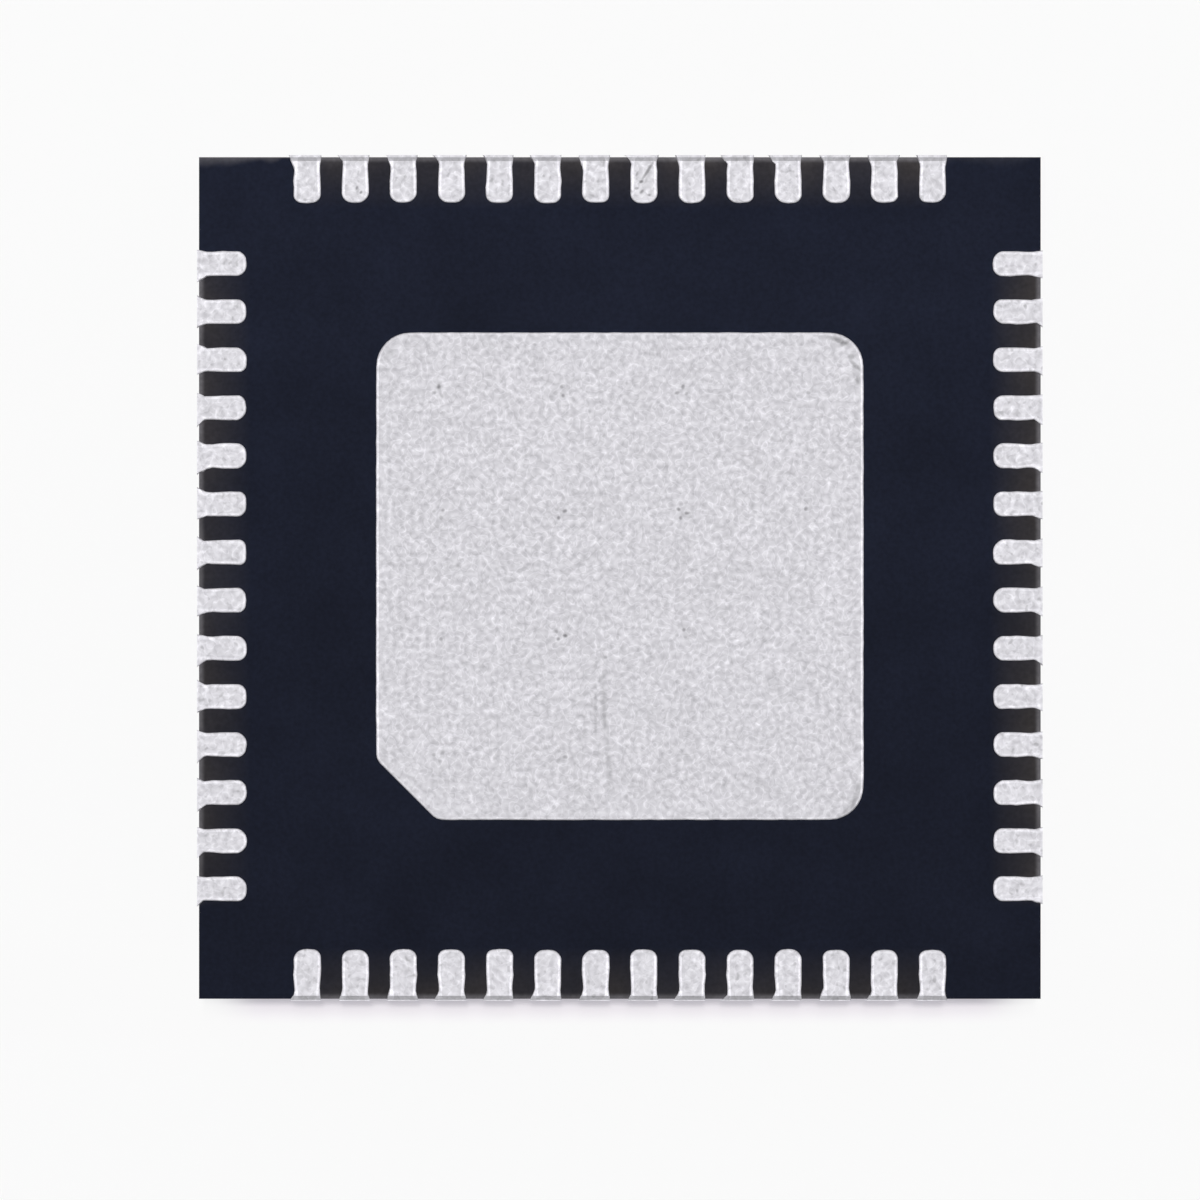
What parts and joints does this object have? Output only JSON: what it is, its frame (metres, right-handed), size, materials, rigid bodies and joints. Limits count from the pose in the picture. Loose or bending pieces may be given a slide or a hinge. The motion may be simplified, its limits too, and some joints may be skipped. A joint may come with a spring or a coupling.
{
  "type": "qfn chip",
  "caption": "Square leadless chip package lying on its marking face, with a chamfered exposed pad and a ring of solder lands on its terminal side.",
  "frame": {"origin": "centre of the marking face, on which the chip lies", "axes": "+Z out of the terminal side, and the pad's chamfered corner towards -X and -Y"},
  "size_m": [0.007, 0.007, 0.0009],
  "materials": {
    "mold_compound": "moulded epoxy with silica filler, blue black, fine matte",
    "tin_plated_copper": "matte electroplated tin over etched copper, bare copper where sawn",
    "silicon": "ground silicon",
    "gold_wire": "drawn gold wire"
  },
  "bodies": {
    "root": {"mold_body": "mold_compound", "die_paddle": "tin_plated_copper", "die": "silicon", "bond_wires": "gold_wire", "lead_01": "tin_plated_copper", "lead_02": "tin_plated_copper", "lead_03": "tin_plated_copper", "lead_04": "tin_plated_copper", "lead_05": "tin_plated_copper", "lead_06": "tin_plated_copper", "lead_07": "tin_plated_copper", "lead_08": "tin_plated_copper", "lead_09": "tin_plated_copper", "lead_10": "tin_plated_copper", "lead_11": "tin_plated_copper", "lead_12": "tin_plated_copper", "lead_13": "tin_plated_copper", "lead_14": "tin_plated_copper", "lead_15": "tin_plated_copper", "lead_16": "tin_plated_copper", "lead_17": "tin_plated_copper", "lead_18": "tin_plated_copper", "lead_19": "tin_plated_copper", "lead_20": "tin_plated_copper", "lead_21": "tin_plated_copper", "lead_22": "tin_plated_copper", "lead_23": "tin_plated_copper", "lead_24": "tin_plated_copper", "lead_25": "tin_plated_copper", "lead_26": "tin_plated_copper", "lead_27": "tin_plated_copper", "lead_28": "tin_plated_copper", "lead_29": "tin_plated_copper", "lead_30": "tin_plated_copper", "lead_31": "tin_plated_copper", "lead_32": "tin_plated_copper", "lead_33": "tin_plated_copper", "lead_34": "tin_plated_copper", "lead_35": "tin_plated_copper", "lead_36": "tin_plated_copper", "lead_37": "tin_plated_copper", "lead_38": "tin_plated_copper", "lead_39": "tin_plated_copper", "lead_40": "tin_plated_copper", "lead_41": "tin_plated_copper", "lead_42": "tin_plated_copper", "lead_43": "tin_plated_copper", "lead_44": "tin_plated_copper", "lead_45": "tin_plated_copper", "lead_46": "tin_plated_copper", "lead_47": "tin_plated_copper", "lead_48": "tin_plated_copper", "lead_49": "tin_plated_copper", "lead_50": "tin_plated_copper", "lead_51": "tin_plated_copper", "lead_52": "tin_plated_copper", "lead_53": "tin_plated_copper", "lead_54": "tin_plated_copper", "lead_55": "tin_plated_copper", "lead_56": "tin_plated_copper"}
  },
  "joints": []
}
